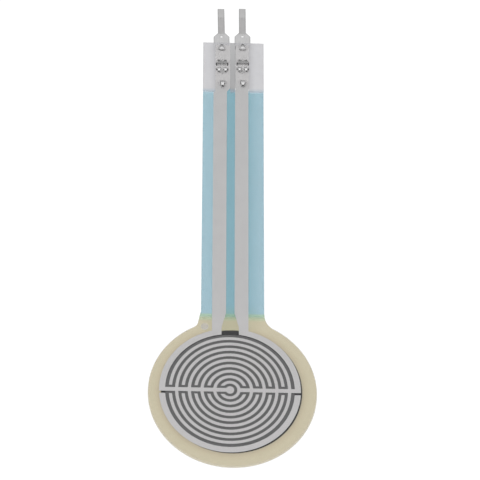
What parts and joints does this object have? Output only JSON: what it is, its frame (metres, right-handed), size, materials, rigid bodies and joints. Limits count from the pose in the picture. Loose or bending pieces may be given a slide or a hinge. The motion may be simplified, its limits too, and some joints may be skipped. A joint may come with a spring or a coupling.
{
  "type": "force sensing resistor",
  "caption": "Thin round force sensor: interdigitated silver rings seen through clear film, cream adhesive rim, blue coated tail, crimped solder tabs.",
  "frame": {"origin": "centre of the round head, on the underside of the back film", "axes": "+Y along the tail to the solder tabs, +Z out of the printed side, +X to the right of the tail"},
  "size_m": [0.0182, 0.0606, 0.0007],
  "materials": {
    "clear_film": "clear polyester film, slightly hazy, satin",
    "printed_silver": "screen printed silver ink, matt",
    "blue_coat": "translucent blue printed insulating coat",
    "cream_adhesive": "cream spacer adhesive, matt",
    "carbon_ink": "black printed carbon ink, matt",
    "tinned_contact": "stamped brass sheet, tin plated, satin"
  },
  "bodies": {
    "root": {"electrode_film": "clear_film", "back_film": "clear_film", "left_electrode": "printed_silver", "right_electrode": "printed_silver", "border_arc": "printed_silver", "tail_coat": "blue_coat", "spacer_adhesive": "cream_adhesive", "resistive_disc": "carbon_ink", "left_contact": "tinned_contact", "right_contact": "tinned_contact"}
  },
  "joints": []
}
